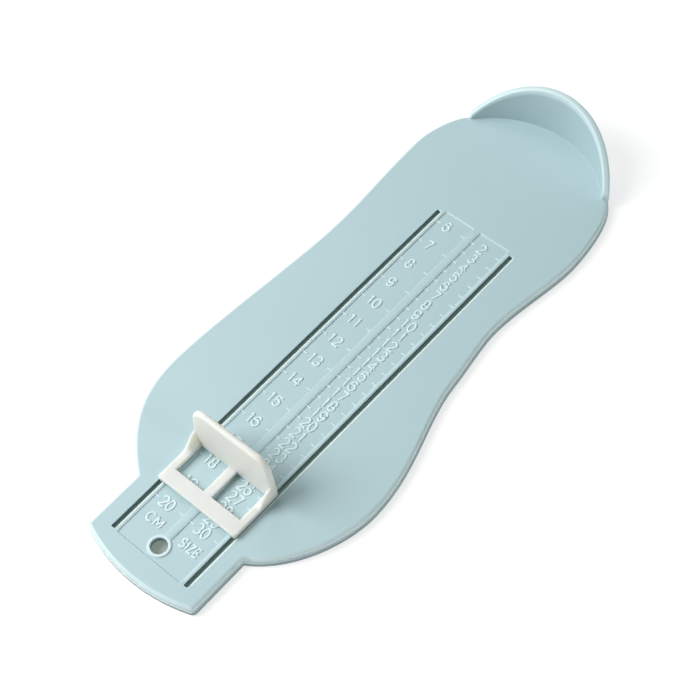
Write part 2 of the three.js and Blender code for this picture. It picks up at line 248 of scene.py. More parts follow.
GUSSET_INSIDE = SLIDER_HALF_WIDTH - GUSSET_EDGE_WIDTH
CORNER_STEPS = 5
CREST_STEPS = 10
SLOPE_STEPS = 12
LEG_LENGTH = 4.0
LEG_STARTS = (0.5, 12.7)
LEG_TOP = 0.7
LEG_FOOT = -3.4
BARB_TOP = -2.3
BARB_REACH = 0.9
BARB_LIP = 0.3

# Roundings of the slider's edges; the widest is the one that the others are shares of. An
# edge with less than the plain angle stays as it is, and one past the sharp angle gets it all.
PLAIN_ANGLE = 22.0
SHARP_ANGLE = 50.0
CREST_ROUNDING = 1.0
WALL_ROUNDING = 0.7
GUSSET_ROUNDING = 0.35
FRAME_ROUNDING = 0.35
LEG_ROUNDING = 0.12
BEVEL_STEPS = 4

# Plastics: two tones that flow into each other and the tone of the painted highlights, the
# noise of the flow marks and of the grain, the range of the grain that turns into roughness,
# the roughness and its spread, and how high and how strong the grain stands.
BASE_TONES = ((0.465, 0.62, 0.655), (0.495, 0.645, 0.68), (0.75, 0.875, 0.885))
SLIDER_TONES = ((0.8, 0.775, 0.735), (0.84, 0.815, 0.775), (0.9, 0.88, 0.84))
FLOW_MARKS = {"Scale": 0.03, "Detail": 3.0, "Roughness": 0.55}
GRAIN = {"Scale": 2.2, "Detail": 4.0, "Roughness": 0.6}
GRAIN_RANGE = (0.3, 0.7)
ROUGHNESS = 0.42
ROUGHNESS_SPREAD = 0.06
GRAIN_HEIGHT = 0.02
GRAIN_STRENGTH = 0.15

# Light inside the slider's plastic: its share, and how far each colour reaches.
INNER_LIGHT = 0.8
LIGHT_REACH = (3.2, 3.0, 2.2)

# Floor: its size and depth, its tone for the light and for the camera, how much light it
# sends back, and what it adds for the camera: in the open, and a painted glow below the slots
# and below the hang hole that stands in for the shaded floor seen through them. The last two
# reach past the openings by a margin, as they are seen at a slant.
FLOOR_HALF = 2000.0
FLOOR_DEPTH = 0.02
FLOOR_TONE = (0.8, 0.8, 0.8, 1)
FLOOR_SEEN_TONE = (0.4, 0.4, 0.4, 1)
FLOOR_BOUNCE = 0.2
FLOOR_SHINE = (0.72, 0.72, 0.72, 1)
SLOT_PAINTED_GLOW = (0.06, 0.1, 0.075, 1)
HOLE_PAINTED_GLOW = (0.17, 0.21, 0.18, 1)
SLANT_MARGIN = DECK_TOP

# Lamps: the direction to each, its distance and size in metres and its power in watts, and
# the light of the room.
LAMPS = {
    "key": ((-0.84, -0.6, 0.96), 0.95, 0.65, 9.85),
    "window": ((-0.62, 0.36, 0.78), 1.2, 0.6, 2.4),
    "fill": ((0.9, 0.0, 0.24), 1.2, 0.4, 3.2),
}
ROOM_LIGHT = (0.122, 0.156, 0.152)

# Camera: it stands where the photograph was taken from. Distances and the aim are in metres.
VIEW_AZIMUTH = 46.2
VIEW_ELEVATION = 56.8
VIEW_ROLL = -5.9
VIEW_DISTANCE = 0.5502
VIEW_AIM = (-0.0029, -0.0061, 0.0)
VIEW_NEAREST = 0.01
VIEW_LENS = 84.2


def add(tree, kind, inputs=None, **settings):
    """Adds a node with its settings, each input being a value or a socket to link."""
    made = tree.nodes.new(kind)
    for name, value in settings.items():
        setattr(made, name, value)
    for name, value in (inputs or {}).items():
        if isinstance(value, bpy.types.NodeSocket):
            tree.links.new(value, made.inputs[name])
        else:
            made.inputs[name].default_value = value
    return made


def maths(tree, operation, *values):
    """Adds a math node and gives its result."""
    return add(tree, "ShaderNodeMath", dict(enumerate(values)), operation=operation).outputs[0]


def blend(tree, share, first, second):
    """Adds a node that mixes two colours and gives the mix."""
    inputs = {MIX_SHARE: share, MIX_FIRST: first, MIX_SECOND: second}
    return add(tree, "ShaderNodeMix", inputs, data_type="RGBA").outputs[MIX_RESULT]


def link(item):
    """Puts an object in the scene."""
    bpy.context.scene.collection.objects.link(item)
    return item


def settle(piece):
    """Turns a piece and its modifiers into one plain mesh."""
    depsgraph = bpy.context.evaluated_depsgraph_get()
    mesh = bpy.data.meshes.new_from_object(piece.evaluated_get(depsgraph), depsgraph=depsgraph)
    mesh.name = piece.name
    return mesh


def place(name, mesh, material, body):
    """Puts a finished mesh in the scene as a piece that rides on a body."""
    piece = link(bpy.data.objects.new(name, mesh))
    mesh.materials.clear()
    mesh.materials.append(material)
    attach(piece, body)
    return piece


class Plan:
    """Turns places on the plan into points of the frame."""

    def __init__(self):
        plate_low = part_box("base_plate")[0]
        slider_low, slider_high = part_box("slider")
        self.middle = (slider_low.x + slider_high.x) / 2
        self.zero = plate_low.y + PLATE_FRONT * MM

    def point(self, across, along, height):
        """The point of the frame at a place and a height."""
        return Vector((self.middle + across * MM, self.zero - along * MM, height * MM))


def area(loop):
    """Area inside a loop, positive if it runs anticlockwise."""
    return sum(a.cross(b) for a, b in zip(loop, loop[1:] + loop[:1])) / 2


def turns_at(loop):
    """The unit directions into and out of each point of a loop."""
    sides = [(point - loop[i - 1]).normalized() for i, point in enumerate(loop)]
    return list(zip(sides, sides[1:] + sides[:1]))


def flat_loops(node, height, facing):
    """The edges of a node's flat faces at a height, as anticlockwise loops, largest first."""
    shape = bmesh.new()
    shape.from_mesh(node.data)
    bmesh.ops.remove_doubles(shape, verts=shape.verts, dist=NODE_MERGE * MM)
    for face in shape.faces:
        level = face.normal.z * facing > LEVEL_NORMAL
        face.tag = level and abs(face.verts[0].co.z - height * MM) < SAME_HEIGHT * MM
    following = {}
    for face in shape.faces:
        for corner in face.loops:
            if face.tag and not all(other.tag for other in corner.edge.link_faces):
                following[corner.vert] = corner.link_loop_next.vert
    loops = []
    while following:
        first, vert = following.popitem()
        loop = [first.co.xy]
        while vert is not first:
            loop.append(vert.co.xy)
            vert = following.pop(vert)
        turns = zip(loop, turns_at(loop))
        bends = [(point, abs(before.cross(after))) for point, (before, after) in turns]
        loops.append([point for point, bend in bends if bend > LEAST_BEND])
    shape.free()
    loops.sort(key=lambda loop: -abs(area(loop)))
    return [loop if area(loop) > 0 else loop[::-1] for loop in loops]


def with_round_corners(loop, radius):
    """A loop whose sharp corners are rounded off on the plan."""
    rounded = []
    for i, point in enumerate(loop):
        before = loop[i - 1] - point
        after = loop[(i + 1) % len(loop)] - point
        if before.angle(after) > math.radians(STRAIGHT_ANGLE):
            rounded.append(point)
            continue
        reach = min(radius * MM, SIDE_SHARE * min(before.length, after.length))
        start = point + before.normalized() * reach
        end = point + after.normalized() * reach
        for step in range(FINE_STEPS + 1):
            share = step / FINE_STEPS
            rounded.append(start.lerp(point, share).lerp(point.lerp(end, share), share))
    return rounded


def with_points(loop, extra):
    """A loop with more points, each put into the side that it lies on."""
    loop = list(loop)
    for point in extra:
        detours = [
            (point - loop[i - 1]).length + (point - loop[i]).length - (loop[i] - loop[i - 1]).length
            for i in range(len(loop))
        ]
        loop.insert(detours.index(min(detours)), point)
    return loop


def inward_steps(loop):
    """For each point of an anticlockwise loop, the step that draws the loop in by one unit."""
    steps = []
    for before, after in turns_at(loop):
        across = before + after
        steps.append(Vector((-across.y, across.x)) / (1 + before.dot(after)))
    return steps


def quarter(inset, height, inset_reach, height_reach, steps, paleness=0):
    """A quarter round of a profile, which leaves upright and arrives level and plain."""
    points = []
    for step in range(steps + 1):
        turn = math.pi / 2 * step / steps
        reached = (inset + inset_reach * (1 - math.cos(turn)), height + height_reach * math.sin(turn))
        points.append((*reached, paleness if step < steps else 0))
    return points


class Shell:
    """A closed mesh in the making, swept from profiles of insets, heights and painted light."""

    def __init__(self):
        self.shape = bmesh.new()
        # Each point's painted light: above 0 a painted highlight, below 0 painted shade.
        self.paleness = self.shape.verts.layers.float.new("paleness")

    def sweep(self, loop, profiles):
        """Runs profiles, one for each point, round a loop."""
        steps = inward_steps(loop)
        rings = []
        for level in zip(*profiles):
            ring = []
            for point, step, (inset, height, paleness) in zip(loop, steps, level):
                ring.append(self.shape.verts.new((*(point + step * inset * MM), height * MM)))
                ring[-1][self.paleness] = paleness
            rings.append(ring)
        for low, high in zip(rings, rings[1:]):
            for i in range(len(low)):
                self.shape.faces.new((low[i - 1], low[i], high[i], high[i - 1]))
        return rings

    def sweep_evenly(self, loop, profile):
        """Runs one profile round a loop."""
        return self.sweep(loop, [profile] * len(loop))

    def fill(self, rings):
        """Closes the flat face that lies between some rings."""
        edges = [
            self.shape.edges.get((ring[i - 1], ring[i])) for ring in rings for i in range(len(ring))
        ]
        bmesh.ops.triangle_fill(self.shape, use_beauty=True, edges=edges)


def finished(shape, name, soften=None):
    """The mesh of a closed shape: merged, facing outward, and flat where it is flat."""
    bmesh.ops.remove_doubles(shape, verts=shape.verts, dist=PIECE_MERGE * MM)
    bmesh.ops.recalc_face_normals(shape, faces=shape.faces)
    mesh = bpy.data.meshes.new(name)
    shape.to_mesh(mesh)
    shape.free()
    mesh.polygons.foreach_set("use_smooth", [True] * len(mesh.polygons))
    holder = link(bpy.data.objects.new(name, mesh))
    if soften:
        soften(holder)
    holder.modifiers.new("flat_faces", "WEIGHTED_NORMAL").keep_sharp = True
    settled = settle(holder)
    bpy.data.objects.remove(holder)
    return settled


def skirt_profile():
    """From the ceiling of the hollow, down the skirt and round its rim to the outside."""
    inside, start = SKIRT_THICKNESS, CEILING - HOLLOW_FILLET
    ceiling = quarter(inside, start, HOLLOW_FILLET, HOLLOW_FILLET, FINE_STEPS)
    inner = quarter(inside, RIM_ROUNDING, -RIM_ROUNDING, -RIM_ROUNDING, COARSE_STEPS)
    # The rim's outer rounding carries painted shade.
    outer = quarter(0, RIM_ROUNDING, RIM_ROUNDING, -RIM_ROUNDING, COARSE_STEPS, SKIRT_PALENESS)
    return ceiling[::-1] + inner + outer[::-1]


def edge_profile(count):
    """Over the plate's ledge and shoulder, with as many points as asked."""
    # Painted shade at the foot of the ledge, a painted highlight on the ledge, and one that fades up
    # the shoulder toward the deck.
    points = [
        (0, LEDGE_HEIGHT - LEDGE_ROUNDING, SKIRT_PALENESS),
        (LEDGE_MIDDLE, LEDGE_HEIGHT - LEDGE_MIDDLE, EDGE_PALENESS),
        (LEDGE_ROUNDING, LEDGE_HEIGHT, EDGE_PALENESS),
        (LEDGE_WIDTH, LEDGE_HEIGHT, EDGE_PALENESS),
    ]
    start = DECK_TOP - SHOULDER_DROP
    foot, *shoulder = quarter(LEDGE_WIDTH, start, SHOULDER_WIDTH, SHOULDER_DROP, SHOULDER_STEPS)
    points.append(foot)
    for i, (inset, height, _) in enumerate(shoulder, 1):
        points.append((inset, height, EDGE_PALENESS * (1 - (i / SHOULDER_STEPS) ** 2)))
    return points + [points[-1]] * (count - len(points))


def stop_profile(angle):
    """Over the heel stop at an angle from the back in degrees, down to the deck."""
    end = math.cos(math.radians(STOP_HALF_ANGLE))
    climb = max(0.0, (math.cos(math.radians(angle)) - end) / (1 - end))
    height = STOP_END_HEIGHT + (STOP_BACK_HEIGHT - STOP_END_HEIGHT) * climb
    half = RIM_WIDTH / 2
    middle = half - STOP_LEAN * height
    inner_drop = min(RIM_INNER_DROP, RIM_INNER_SHARE * (height + half))
    # The rim carries a painted highlight. The inside of the wall, from just below the rim down to the
    # fillet, carries a light painted shade.
    rim = []
    for step in range(RIM_STEPS + 1):
        turn = math.pi * step / RIM_STEPS
        drop = half if step < RIM_STEPS / 2 else inner_drop
        reach = math.copysign(abs(math.cos(turn)) ** RIM_SQUARENESS, math.cos(turn))
        level = DECK_TOP + height + half - drop * (1 - math.sin(turn) ** RIM_SQUARENESS)
        rim.append((middle - half * reach, level, RIM_PALENESS))
    start, reach = DECK_TOP + STOP_FILLET, STOP_FILLET
    fillet = quarter(STOP_THICKNESS, start, reach, -reach, STOP_FILLET_STEPS, STOP_PALENESS)
    below_rim = Vector(rim[-1]).lerp(Vector(fillet[0]), RIM_FADE)
    return [(0, DECK_TOP, 0), *rim, (*below_rim.xy, STOP_PALENESS), *fillet]


def stop_presence(angle):
    """How much of the heel stop stands at an angle: its ends fall away in a round."""
    rounding = RIGHT_END_ROUNDING if angle > 0 else LEFT_END_ROUNDING
    past_end = math.radians(abs(angle) - STOP_HALF_ANGLE) * HEEL_RADIUS
    share = min(1.0, max(0.0, 1 + past_end / rounding))
    return math.sqrt(1 - share * share)


def outer_profile(spoke):
    """Round the plate's edge at a point, given from the heel's centre in metres."""
    angle = math.degrees(math.atan2(spoke.x, spoke.y))
    on_heel = abs(spoke.length - HEEL_RADIUS * MM) < HEEL_MARGIN * MM
    presence = stop_presence(angle) if on_heel else 0.0
    stop = stop_profile(angle)
    plain = edge_profile(len(stop))
    upper = [Vector(low).lerp(Vector(high), presence) for low, high in zip(plain, stop)]
    return skirt_profile() + [tuple(point) for point in upper]


def through_profile(rounding, paleness=0):
    """Down through the deck, with both edges rounded and painted shade on the walls between them."""
    start, end, reach = DECK_TOP - rounding, CEILING + UNDER_ROUNDING, -UNDER_ROUNDING
    upper = quarter(0, start, -rounding, rounding, FINE_STEPS, paleness)
    # From a depth below the upper rounding, the wall carries painted shade.
    dim_from = start - DIM_DEPTH
    lower = quarter(0, end, reach, reach, COARSE_STEPS, DIM_PALENESS)
    return [*upper[::-1], (0, dim_from, DIM_PALENESS), *lower]


def slot_profiles(loop):
    """Profiles round a slot, whose right lip is the rounder one and carries a painted highlight."""
    middle = sum(point.x for point in loop) / len(loop)
    left = through_profile(SLOT_ROUNDING)
    right = through_profile(SLOT_RIGHT_ROUNDING, LIP_PALENESS)
    return [right if point.x > middle else left for point in loop]


def panel_profile():
    """Down the edge of the sunk panel to its floor."""
    start, reach = DECK_TOP - PANEL_ROUNDING, PANEL_ROUNDING
    # The upper rounding carries a painted highlight.
    upper = quarter(0, start, -reach, reach, FINE_STEPS, PANEL_PALENESS)
    end, reach = PANEL_FLOOR + PANEL_FILLET, PANEL_FILLET
    lower = quarter(0, end, reach, -reach, COARSE_STEPS)
    return upper[::-1] + lower


def stop_end_points(centre):
    """Points on the outline where the heel stop's ends round off."""
    points = []
    for sign, rounding in ((-1, LEFT_END_ROUNDING), (1, RIGHT_END_ROUNDING)):
        for share in END_SHARES:
            inset = share * rounding / HEEL_RADIUS
            angle = sign * (math.radians(STOP_HALF_ANGLE) - inset)
            spoke = Vector((math.sin(angle), math.cos(angle))) * HEEL_RADIUS * MM
            points.append(centre + spoke)
    return points


def base_moulding(plan, node, material):
    """The plate with its heel stop, slots, sunk panel and hang hole."""
    centre = plan.point(HEEL_ACROSS, HEEL_ALONG, 0).xy
    outline = with_points(flat_loops(node, 0, -1)[0], stop_end_points(centre))
    recess, *slots, hole = flat_loops(node, DECK_TOP, 1)[1:]
    shell = Shell()
    outer = shell.sweep(outline, [outer_profile(point - centre) for point in outline])
    openings = [shell.sweep_evenly(hole, through_profile(HOLE_ROUNDING))]
    for slot in slots:
        loop = with_round_corners(slot, SLOT_CORNER)
        openings.append(shell.sweep(loop, slot_profiles(loop)))
    panel = shell.sweep_evenly(with_round_corners(recess, PANEL_CORNER), panel_profile())
    shell.fill([outer[-1], panel[0], *[rings[0] for rings in openings]])
    shell.fill([panel[-1]])
    shell.fill([outer[0], *[rings[-1] for rings in openings]])
    mesh = finished(shell.shape, "base_moulding")
    piece = place("base_moulding", mesh, material, "base")
    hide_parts("base_plate")


def wall_back(height):
    """Place of the stop wall's sloping back at a height."""
    return WALL_FOOT + (WALL_TOP - WALL_FOOT) * height / WALL_HEIGHT


def rounded_corner(across, second, radius, steps):
    """Points round a corner, from its full across to its full second coordinate."""
    turns = [math.pi / 2 * step / steps for step in range(steps + 1)]
    return [
        (across - radius * (1 - math.cos(turn)), second - radius * (1 - math.sin(turn)))
        for turn in turns
    ]


def gusset_slope():
    """Places and heights down a gusset's top edge."""
    start, end = wall_back(GUSSET_TOP), WALL_FOOT + GUSSET_RUN
    handles = [
        Vector((start + run * (end - start), FRAME_TOP + rise * GUSSET_RISE))
        for run, rise in GUSSET_CURVE
    ]
    return [tuple(point) for point in interpolate_bezier(*handles, SLOPE_STEPS + 1)]


def wall_faces():
    """Faces of the stop wall's right half, each a list of across, place and height."""
    half, inner = SLIDER_HALF_WIDTH, SLIDER_HALF_WIDTH - SIDE_WIDTH
    low, under, top = SLIDING_GAP, BAR_UNDERSIDE, FRAME_TOP
    crest = rounded_corner(half - WALL_DRAFT, WALL_HEIGHT, WALL_CORNER, CREST_STEPS)
    crest = [(half, GUSSET_TOP), *crest, (0, WALL_HEIGHT)]
    bar = MIDDLE_BAR_HALF_WIDTH
    front = [(0, under), (inner, under), (inner, low), (half, low)]
    back = [(0, top), (bar, top), (bar, under), (inner, under), (inner, top)]
    back += [(GUSSET_INSIDE, GUSSET_TOP)]
    faces = [
        [(x, 0, z) for x, z in front + crest],
        [(x, wall_back(z), z) for x, z in back + crest],
    ]
    for (x0, z0), (x1, z1) in zip(crest, crest[1:]):
        faces.append([(x0, 0, z0), (x1, 0, z1), (x1, wall_back(z1), z1), (x0, wall_back(z0), z0)])
    return faces


def side_faces():
    """Faces of the right side bar and its gusset."""
    half, inner = SLIDER_HALF_WIDTH, SLIDER_HALF_WIDTH - SIDE_WIDTH
    low, under, top = SLIDING_GAP, BAR_UNDERSIDE, FRAME_TOP
    rear, window_end = SLIDER_LENGTH, SLIDER_LENGTH - REAR_BAR
    slope = gusset_slope()
    feet = [wall_back(top), *[y for y, z in slope[1:]]]
    corner = rounded_corner(half, rear, SLIDER_CORNER, CORNER_STEPS)
    outside = [(0, low), (0, GUSSET_TOP), *slope]
    outside += [(corner[0][1], top), (corner[0][1], low)]
    faces = [
        [(half, y, z) for y, z in outside],
        [(inner, 0, low), (half, 0, low), *[(x, y, low) for x, y in corner], (inner, rear, low)],
        [(inner, 0, low), (inner, rear, low), (inner, rear, under), (inner, window_end, under)]
        + [(inner, wall_back(under), under), (inner, 0, under)],
        [(inner, wall_back(under), under), (inner, window_end, under), (inner, window_end, top)]
        + [(inner, y, top) for y in reversed(feet)],
    ]
    for i in range(SLOPE_STEPS):
        (y0, z0), (y1, z1) = slope[i], slope[i + 1]
        edge = [(GUSSET_INSIDE, y1, z1), (GUSSET_INSIDE, y0, z0)]
        faces.append([(half, y0, z0), (half, y1, z1), *edge])
        faces.append([*edge, (inner, feet[i], top), (inner, feet[i + 1], top)])
    for (x0, y0), (x1, y1) in zip(corner, corner[1:]):
        faces.append([(x0, y0, low), (x1, y1, low), (x1, y1, top), (x0, y0, top)])
    return faces


def frame_faces():
    """Faces of the right half of the frame between its sides: rear bar, middle bar, window."""
    half, inner = SLIDER_HALF_WIDTH, SLIDER_HALF_WIDTH - SIDE_WIDTH
    bar = MIDDLE_BAR_HALF_WIDTH
    low, under, top = SLIDING_GAP, BAR_UNDERSIDE, FRAME_TOP
    rear, window_end = SLIDER_LENGTH, SLIDER_LENGTH - REAR_BAR
    slope_end = WALL_FOOT + GUSSET_RUN
    corner = rounded_corner(half, rear, SLIDER_CORNER, CORNER_STEPS)
    rear_end = corner[-1][0]
    return [
        [(0, wall_back(top), top), (bar, wall_back(top), top), (bar, window_end, top)]
        + [(inner, window_end, top), (inner, slope_end, top)]
        + [(GUSSET_INSIDE, slope_end, top), (half, slope_end, top)]
        + [(x, y, top) for x, y in corner]
        + [(0, rear, top)],
        [(0, rear, top), (rear_end, rear, top), (rear_end, rear, low), (inner, rear, low)]
        + [(inner, rear, under), (0, rear, under)],
        [(bar, window_end, under), (bar, window_end, top)]
        + [(inner, window_end, top), (inner, window_end, under)],
        [(bar, wall_back(under), under), (bar, wall_back(top), top)]
        + [(bar, window_end, top), (bar, window_end, under)],
        [(0, 0, under), (inner, 0, under), (inner, wall_back(under), under)]
        + [(bar, wall_back(under), under), (bar, window_end, under), (inner, window_end, under)]
        + [(inner, rear, under), (0, rear, under)],
    ]


def leg_faces(start):
    """Faces of the right leg that starts at a place, with its barb."""
    inner = SLOT_INNER + SLIDING_GAP
    outer = SLOT_OUTER - SLIDING_GAP
    barb = outer + BARB_REACH
    section = [(inner, LEG_FOOT), (outer, LEG_FOOT), (barb, BARB_TOP - BARB_LIP)]
    section += [(barb, BARB_TOP), (outer, BARB_TOP), (outer, LEG_TOP), (inner, LEG_TOP)]
    ends = (start, start + LEG_LENGTH)
    faces = [[(x, y, z) for x, z in section] for y in ends]
    for i, (x, z) in enumerate(section):
        x0, z0 = section[i - 1]
        faces.append([(x0, ends[0], z0), (x, ends[0], z), (x, ends[1], z), (x0, ends[1], z0)])
    return faces


def slider_rounding(edge):
    """Rounding of one edge of the slider, in millimetres."""
    low, high = sorted(vert.co.z / MM - DECK_TOP for vert in edge.verts)
    if high < LEG_TOP + SAME_HEIGHT:
        return LEG_ROUNDING
    if high > GUSSET_TOP + SAME_HEIGHT:
        climb = max(0.0, low - GUSSET_TOP) / (WALL_HEIGHT - GUSSET_TOP)
        return WALL_ROUNDING + (CREST_ROUNDING - WALL_ROUNDING) * climb
    return GUSSET_ROUNDING if low > FRAME_TOP + SAME_HEIGHT else FRAME_ROUNDING


def soften_slider(holder):
    """Rounds the slider's edges by their weights."""
    bevel = holder.modifiers.new("rounding", "BEVEL")
    bevel.limit_method = "WEIGHT"
    bevel.width = CREST_ROUNDING * MM
    bevel.segments = BEVEL_STEPS
    bevel.use_clamp_overlap = False


def slider_moulding(plan, material):
    """The slider: frame, stop wall and gussets in one, and its four snap legs."""
    halves = [wall_faces() + side_faces() + frame_faces()]
    halves += [leg_faces(start) for start in LEG_STARTS]
    shape = bmesh.new()
    for faces in halves:
        for sign in (1, -1):
            for face in faces:
                corners = [plan.point(sign * x, READING + y, DECK_TOP + z) for x, y, z in face]
                shape.faces.new([shape.verts.new(corner) for corner in corners])
    bmesh.ops.remove_doubles(shape, verts=shape.verts, dist=PIECE_MERGE * MM)
    weight = shape.edges.layers.float.new("bevel_weight_edge")
    for edge in shape.edges:
        sharpness = (math.degrees(edge.calc_face_angle()) - PLAIN_ANGLE) / (SHARP_ANGLE - PLAIN_ANGLE)
        edge[weight] = min(1, max(0, sharpness)) * slider_rounding(edge) / CREST_ROUNDING
    mesh = finished(shape, "slider_moulding", soften_slider)
    piece = place("slider_moulding", mesh, material, "slider")
    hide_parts("slider")


def arc(across, up, half_width, half_height, start, end):
    """Points of an elliptical arc, from one angle to another."""
    steps = math.ceil(abs(end - start) / ARC_STEP)
    angles = [math.radians(start + (end - start) * step / steps) for step in range(steps + 1)]
    return [
        (across + half_width * math.cos(angle), up + half_height * math.sin(angle))
        for angle in angles
    ]


def half_turned(stroke):
    """A stroke turned upside down about the middle of its character."""
    return [(-across, 1 - up) for across, up in stroke]


SIX = arc(0, 0.5, 0.46, 0.5, 42, 180) + arc(0, 0.31, 0.46, 0.31, 180, 540)

# Strokes of each character, from -0.5 to 0.5 across and from 0 to 1 up.
CHARACTERS = {
    "0": [arc(0, 0.5, 0.44, 0.5, 0, 360)],
    "1": [[(-0.24, 0.8), (0.06, 1), (0.06, 0)]],
    "2": [arc(0, 0.71, 0.44, 0.29, 165, -28) + [(-0.46, 0), (0.48, 0)]],
    "3": [arc(0, 0.745, 0.4, 0.255, 155, -90) + arc(0, 0.25, 0.46, 0.25, 90, -155)],
    "4": [[(0.2, 0), (0.2, 1), (-0.48, 0.3), (0.5, 0.3)]],
    "5": [[(0.42, 1), (-0.3, 1), (-0.38, 0.5)] + arc(0, 0.32, 0.46, 0.32, 140, -150)],
    "6": [SIX],
    "7": [[(-0.46, 1), (0.46, 1), (-0.12, 0)]],
    "8": [arc(0, 0.75, 0.37, 0.25, 0, 360), arc(0, 0.255, 0.46, 0.255, 0, 360)],
    "9": [half_turned(SIX)],
    "C": [arc(0, 0.5, 0.46, 0.5, 45, 315)],
    "M": [[(-0.46, 0), (-0.46, 1), (0, 0.25), (0.46, 1), (0.46, 0)]],
    "S": [arc(0, 0.745, 0.4, 0.255, 30, 270) + arc(0, 0.25, 0.44, 0.25, 90, -150)],
    "I": [[(0, 0), (0, 1)]],
    "Z": [[(-0.42, 1), (0.42, 1), (-0.42, 0), (0.42, 0)]],
    "E": [[(0.4, 1), (-0.38, 1), (-0.38, 0), (0.4, 0)], [(-0.38, 0.5), (0.3, 0.5)]],
}


def node_tree(name, sockets):
    """A geometry node tree with named inputs and one mesh, its group input and its outputs."""
    tree = bpy.data.node_groups.new(name, "GeometryNodeTree")
    for socket, kind in sockets.items():
        tree.interface.new_socket(socket, in_out="INPUT", socket_type="NodeSocket" + kind)
    tree.interface.new_socket("Mesh", in_out="OUTPUT", socket_type="NodeSocketGeometry")
    return tree, add(tree, "NodeGroupInput").outputs


def finish_tree(tree, geometry, material):
    """Ends a tree: real, smooth geometry with its material."""
    real = add(tree, "GeometryNodeRealizeInstances", {"Geometry": geometry}).outputs[0]
    smooth = add(tree, "GeometryNodeSetShadeSmooth", {"Geometry": real}).outputs[0]
    coated = add(tree, "GeometryNodeSetMaterial", {"Geometry": smooth, "Material": material})
    add(tree, "NodeGroupOutput", {"Mesh": coated.outputs[0]})


def rounded_ends(tree, width):
    """A radius along a curve that falls to a round end, and stays whole on a closed one."""
    reached = add(tree, "GeometryNodeSplineParameter").outputs["Length"]
    whole = add(tree, "GeometryNodeSplineLength").outputs["Length"]
    nearest = maths(tree, "MINIMUM", reached, maths(tree, "SUBTRACT", whole, reached))
    share = maths(tree, "DIVIDE", nearest, maths(tree, "MULTIPLY", width, 0.5))
    inward = maths(tree, "MAXIMUM", maths(tree, "SUBTRACT", END_SHARE, share), 0.0)
    round_end = maths(tree, "SQRT", maths(tree, "SUBTRACT", 1.0, maths(tree, "POWER", inward, 2.0)))
    closed = add(tree, "GeometryNodeInputSplineCyclic").outputs[0]
    inputs = {"Switch": closed, "False": round_end, "True": 1.0}
    return add(tree, "GeometryNodeSwitch", inputs, input_type="FLOAT").outputs[0]


def stroke_tree():
    """Geometry nodes that raise a stroke with soft edges and round ends along each curve."""
    sockets = {"Curves": "Geometry", "Width": "Float", "Height": "Float", "Flank": "Float"}
    sockets |= {"Rounding": "Float", "Sink": "Float", "Step": "Float", "Paleness": "Float"}
    tree, given = node_tree("raised_strokes", {**sockets, "Material": "Material"})
    inputs = {"Curve": given["Curves"], "Length": given["Step"]}
    even = add(tree, "GeometryNodeResampleCurve", inputs, mode="LENGTH").outputs[0]
    inputs = {"Curve": even, "Radius": rounded_ends(tree, given["Width"])}
    shaped = add(tree, "GeometryNodeSetCurveRadius", inputs).outputs[0]
    level = add(tree, "GeometryNodeSetCurveNormal", {"Curve": shaped}, mode="Z_UP").outputs[0]
    flanks = maths(tree, "MULTIPLY", given["Flank"], 2.0)
    crest = maths(tree, "SUBTRACT", given["Width"], flanks)
    inputs = {"Height": given["Height"], "Bottom Width": crest, "Top Width": given["Width"]}
    inputs["Offset"] = 0.0
    kind = "GeometryNodeCurvePrimitiveQuadrilateral"
    section = add(tree, kind, inputs, mode="TRAPEZOID").outputs[0]
    lower = maths(tree, "MULTIPLY", given["Height"], -0.5)
    shift = add(tree, "ShaderNodeCombineXYZ", {"Y": lower}).outputs[0]
    inputs = {"Geometry": section, "Translation": shift}
    hung = add(tree, "GeometryNodeTransform", inputs).outputs[0]
    inputs = {"Curve": hung, "Count": FINE_STEPS, "Radius": given["Rounding"]}
    inputs["Limit Radius"] = True
    soft = add(tree, "GeometryNodeFilletCurve", inputs, mode="POLY").outputs[0]
    inputs = {"Curve": level, "Profile Curve": soft, "Fill Caps": True}
    swept = add(tree, "GeometryNodeCurveToMesh", inputs).outputs[0]
    inputs = {"Geometry": swept, "Distance": PIECE_MERGE * MM}
    whole = add(tree, "GeometryNodeMergeByDistance", inputs).outputs[0]
    drop = maths(tree, "MULTIPLY", given["Sink"], -1.0)
    offset = add(tree, "ShaderNodeCombineXYZ", {"Z": drop}).outputs[0]
    sunk = add(tree, "GeometryNodeSetPosition", {"Geometry": whole, "Offset": offset}).outputs[0]
    # Stores the stroke's painted light, a painted highlight on numbers, words, ticks and crowns.
    inputs = {"Geometry": sunk, "Name": "paleness", "Value": given["Paleness"]}
    pale = add(tree, "GeometryNodeStoreNamedAttribute", inputs).outputs[0]
    finish_tree(tree, pale, given["Material"])
    return tree


